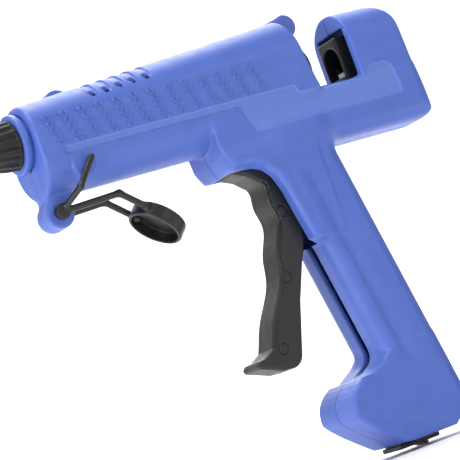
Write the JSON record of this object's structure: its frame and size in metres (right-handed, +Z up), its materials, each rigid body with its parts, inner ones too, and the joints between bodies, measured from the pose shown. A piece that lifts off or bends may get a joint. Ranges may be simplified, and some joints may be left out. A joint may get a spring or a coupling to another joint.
{
  "type": "glue gun",
  "caption": "Pistol-shaped hot-melt glue gun with a ribbed nozzle cover, two-part housing, feed trigger, folding wire stand, rocker switch and mains cord.",
  "frame": {"origin": "centre of the nozzle's outlet at its tip", "axes": "+X back along the barrel, +Y to the gun's right side, +Z up"},
  "size_m": [0.3206, 0.0774, 0.1962],
  "materials": {
    "housing": "fine satin texture",
    "black_rubber": "soft matte",
    "black_plastic": "satin",
    "brass": "machined",
    "aluminium": "as cast",
    "steel": "drawn",
    "ceramic": "fired",
    "phenolic": "moulded",
    "sleeve": "silicone",
    "trigger": "satin",
    "rocker_red": "glossy",
    "cord": "PVC, satin",
    "terminal": "moulded",
    "lead_brown": "insulation",
    "lead_blue": "insulation",
    "pins": "nickel plated"
  },
  "bodies": {
    "gun": {"left_housing": "housing", "right_housing": "housing", "nose_collar": "housing", "nozzle_cover": "black_rubber", "nozzle": "brass", "melt_chamber": "aluminium", "ptc_heater": "ceramic", "heater_clip": "steel", "front_holder": "phenolic", "rear_holder": "phenolic", "inlet_sleeve": "sleeve", "sleeve_clamp": "steel", "trigger_pin": "steel", "return_spring": "steel", "spring_post": "steel", "switch_frame": "black_plastic", "switch_body": "black_plastic", "strain_relief": "cord", "inner_cord": "cord", "cord_clamp": "black_plastic", "clamp_screws": "steel", "housing_screws": "steel", "terminal_block": "terminal", "live_lead": "lead_brown", "neutral_lead": "lead_blue", "cord_tube": "cord", "cord_coil": "cord", "coil_tie": "black_plastic", "plug_body": "cord", "plug_pins": "pins"},
    "trigger": {"trigger": "trigger", "arm_pin": "steel"},
    "link": {"link_rod": "steel"},
    "carriage": {"feed_carriage": "black_plastic", "jaw_pin": "steel", "carriage_pin": "steel"},
    "jaw": {"gripper_jaw": "steel"},
    "stand": {"stand": "black_plastic"},
    "rocker": {"rocker": "rocker_red"}
  },
  "joints": [
    {"name": "trigger_swing", "type": "hinge", "parent": "gun", "child": "trigger", "pos_m": [0.142, 0, -0.041], "axis": [0, -1, 0], "range_deg": [0, 10], "stiffness_Nm_per_rad": 1.4, "springref_deg": -11.46},
    {"name": "carriage_slide", "type": "slide", "parent": "gun", "child": "carriage", "axis": [-1, 0, 0], "range_m": [0, 0.0045], "deforming": ["return_spring"]},
    {"name": "link_turn", "type": "hinge", "parent": "trigger", "child": "link", "pos_m": [0.14414, 0, -0.01659], "axis": [0, -1, 0], "range_deg": [-10.3, 0.1]},
    {"name": "jaw_bite", "type": "hinge", "parent": "carriage", "child": "jaw", "pos_m": [0.1924, 0, -0.0082], "axis": [0, 1, 0], "range_deg": [0, 5], "stiffness_Nm_per_rad": 0.02, "springref_deg": -5.73},
    {"name": "stand_fold", "type": "hinge", "parent": "gun", "child": "stand", "pos_m": [0.0345, 0, -0.032], "axis": [0, 1, 0], "range_deg": [0, 110]},
    {"name": "rocker_tilt", "type": "hinge", "parent": "gun", "child": "rocker", "pos_m": [0.15633, 0, -0.163], "axis": [0, 1, 0], "range_deg": [0, 16]}
  ],
  "couplings": [
    {"joint": "carriage_slide", "follows": "trigger_swing", "m_per_rad": 0.02447},
    {"joint": "link_turn", "follows": "trigger_swing", "ratio": -1}
  ]
}
